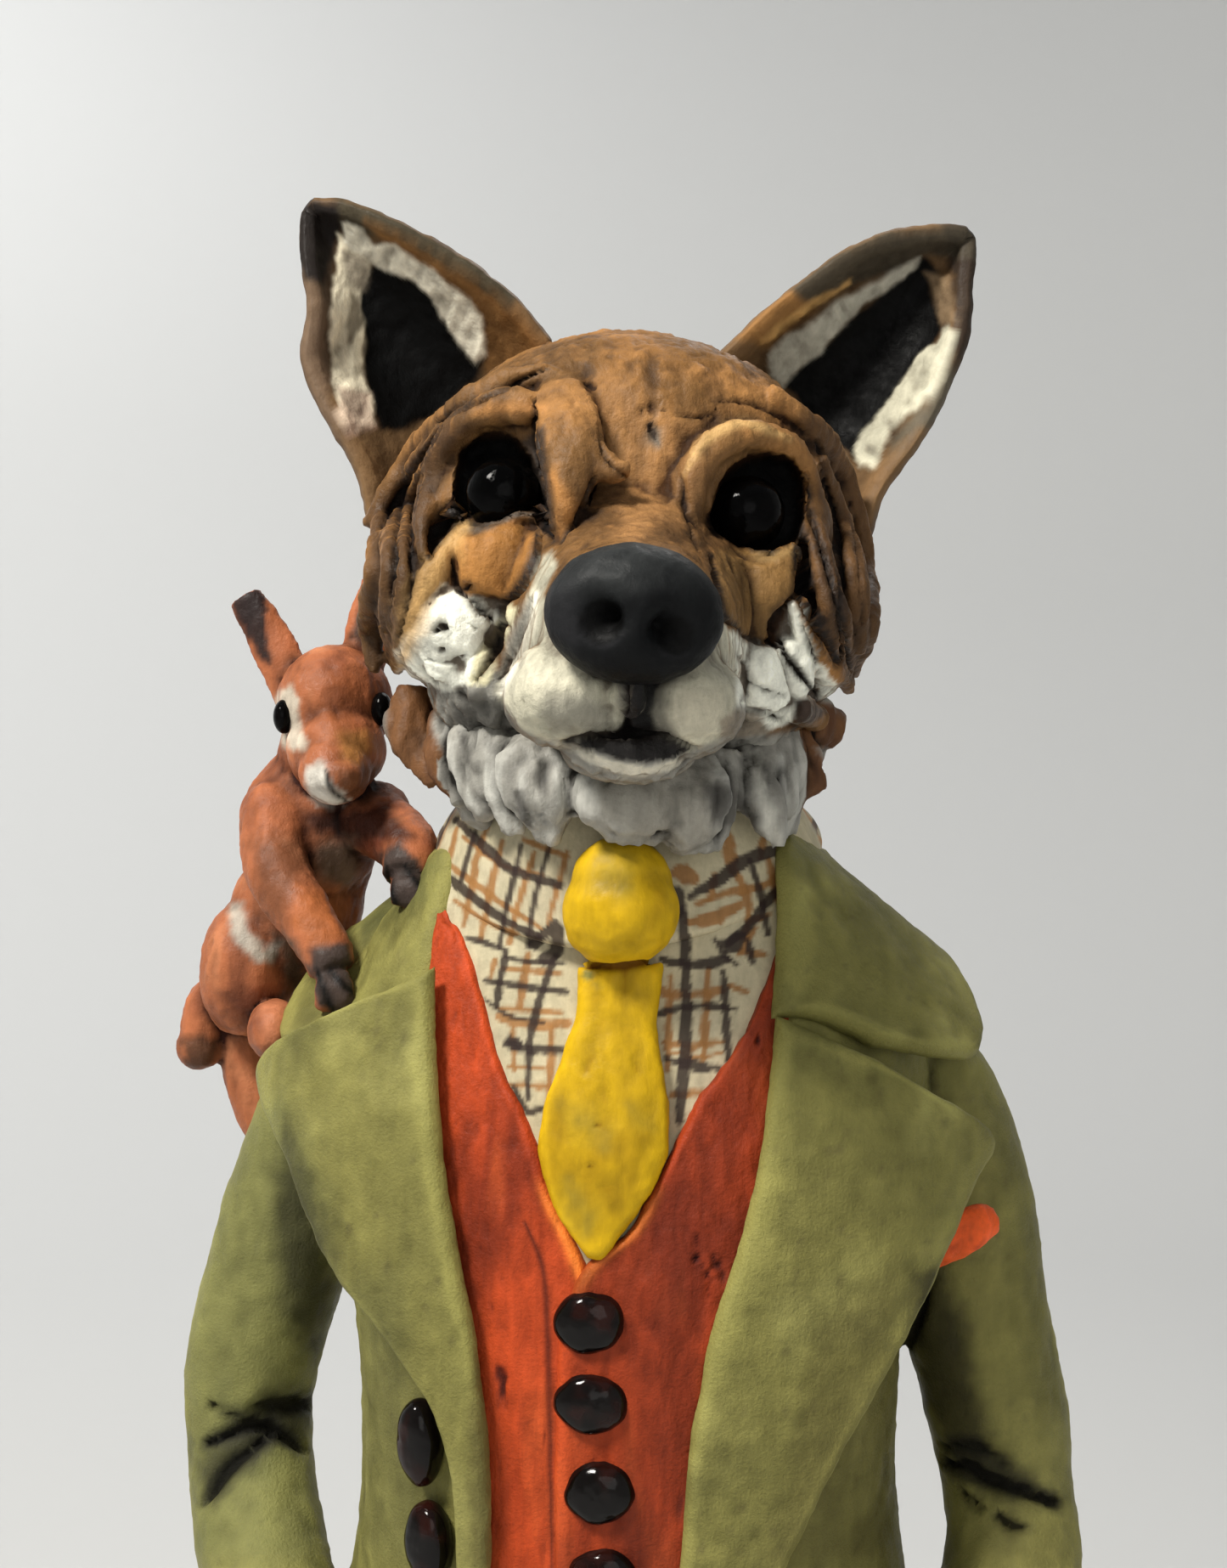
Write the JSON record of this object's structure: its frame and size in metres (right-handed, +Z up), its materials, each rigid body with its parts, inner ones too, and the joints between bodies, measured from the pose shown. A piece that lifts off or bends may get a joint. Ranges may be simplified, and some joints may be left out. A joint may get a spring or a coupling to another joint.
{
  "type": "fox sculpture",
  "caption": "Hand-built painted ceramic fox standing upright in a coat, waistcoat, checked shirt and tie, with a squirrel on its shoulder, on a low oval base.",
  "frame": {"origin": "middle of the base's underside", "axes": "+Z up; the fox's chest and face look along -Y; the squirrel sits towards -X"},
  "size_m": [0.248, 0.2483, 0.6555],
  "materials": {
    "painted_ceramic": "matte cold paint over fired clay: green coat, orange waistcoat, yellow tie, cream checked shirt, brown and white fur; glossy black eyes and buttons"
  },
  "bodies": {
    "root": {"fox_figure": "painted_ceramic"}
  },
  "joints": []
}
